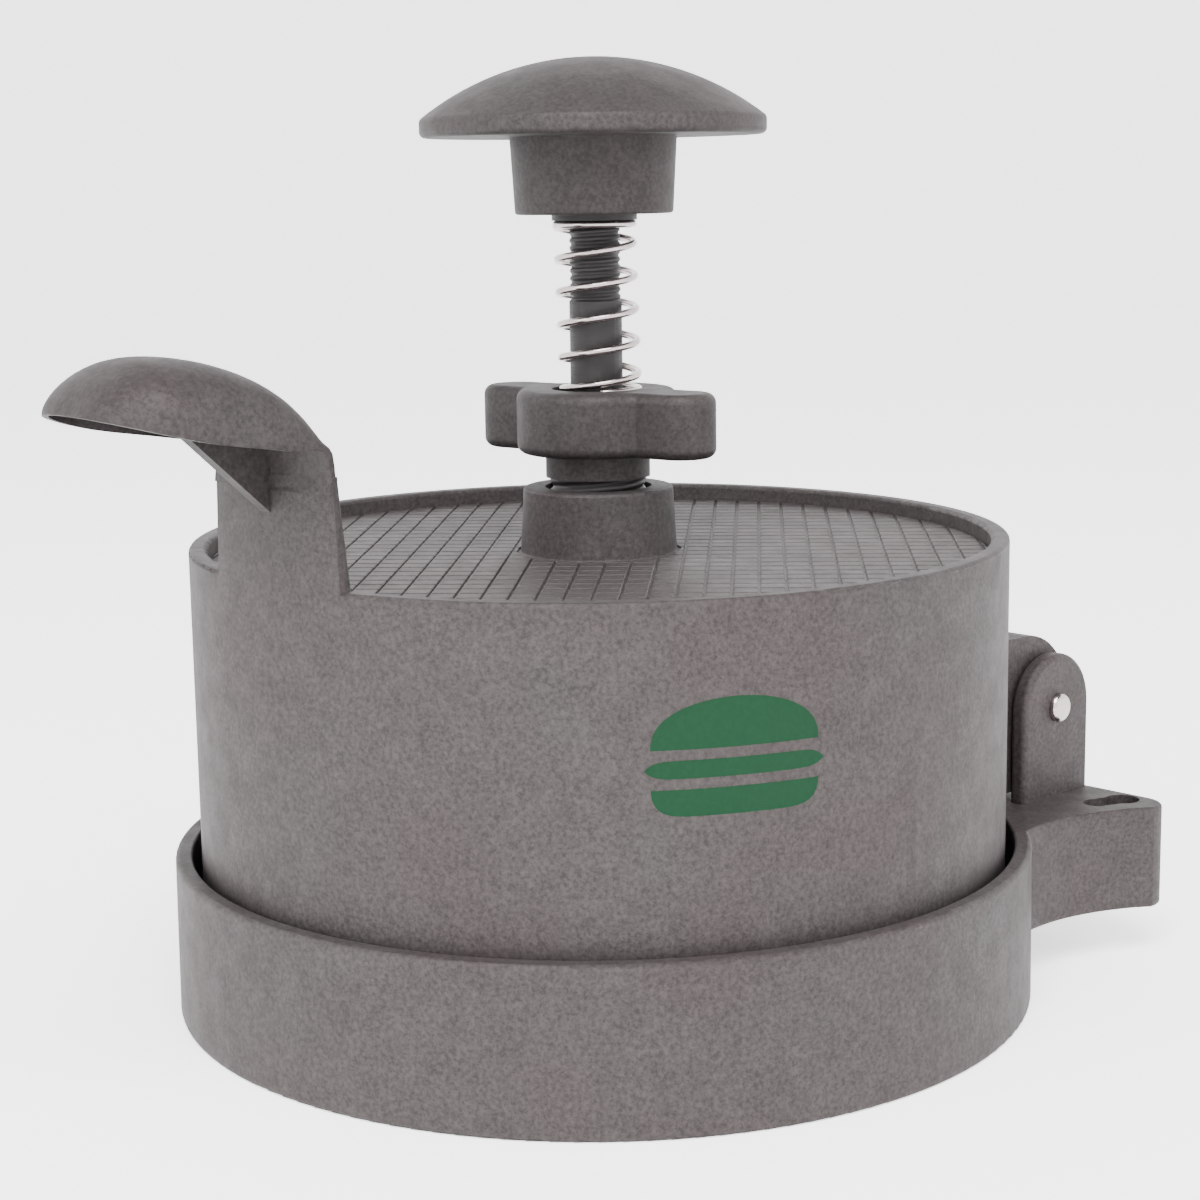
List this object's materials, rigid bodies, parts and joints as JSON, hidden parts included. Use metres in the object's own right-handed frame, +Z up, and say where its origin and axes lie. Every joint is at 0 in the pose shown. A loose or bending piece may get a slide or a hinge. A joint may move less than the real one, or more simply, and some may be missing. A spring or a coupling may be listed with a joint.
{
  "type": "adjustable patty press",
  "caption": "Round hinged press that forms a single food patty, with a spoon-shaped lift handle, a sprung plunger and a wing knob that sets the thickness.",
  "frame": {"origin": "on the press axis, at the surface that the base stands on", "axes": "+Z up along the plunger, -Y towards the lift handle, +Y towards the hinge, X along the hinge pin"},
  "size_m": [0.1302, 0.1642, 0.1399],
  "materials": {
    "coated_casting": "grey non-stick coating, fine grain, satin",
    "dark_steel": "dark coated steel",
    "bright_steel": "bright drawn steel"
  },
  "bodies": {
    "base": {"base_tray": "coated_casting", "hinge_pin": "bright_steel"},
    "lid": {"lid_housing": "coated_casting"},
    "thickness_carrier": {"spring_washer": "dark_steel", "spring": "bright_steel"},
    "adjuster": {"adjuster_knob": "coated_casting", "adjuster_sleeve": "dark_steel", "sleeve_stop_ring": "bright_steel"},
    "spring_head": {"cap_washer": "dark_steel"},
    "plunger": {"plunger_rod": "dark_steel", "palm_knob": "coated_casting", "press_plate": "coated_casting", "plate_screw": "bright_steel"}
  },
  "joints": [
    {"name": "lid_hinge", "type": "hinge", "parent": "base", "child": "lid", "pos_m": [0, 0.0638, 0.0383], "axis": [-1, 0, 0], "range_deg": [0, 130]},
    {"name": "thickness_travel", "type": "slide", "parent": "lid", "child": "thickness_carrier", "axis": [0, 0, 1], "range_m": [-0.0032, 0.0254]},
    {"name": "knob_turn", "type": "hinge", "parent": "thickness_carrier", "child": "adjuster", "pos_m": [0, 0, 0.086], "axis": [0, 0, 1], "range_deg": [-360.5, 2858]},
    {"name": "plunger_press", "type": "slide", "parent": "thickness_carrier", "child": "spring_head", "axis": [0, 0, -1], "range_m": [0, 0.009], "stiffness_N_per_m": 1900, "springref_m": -0.003, "deforming": ["spring"]},
    {"name": "plunger_spin", "type": "hinge", "parent": "spring_head", "child": "plunger", "pos_m": [0, 0, 0.12], "axis": [0, 0, 1], "continuous": true}
  ],
  "couplings": [
    {"joint": "knob_turn", "follows": "thickness_travel", "rad_per_m": 1963.5}
  ]
}
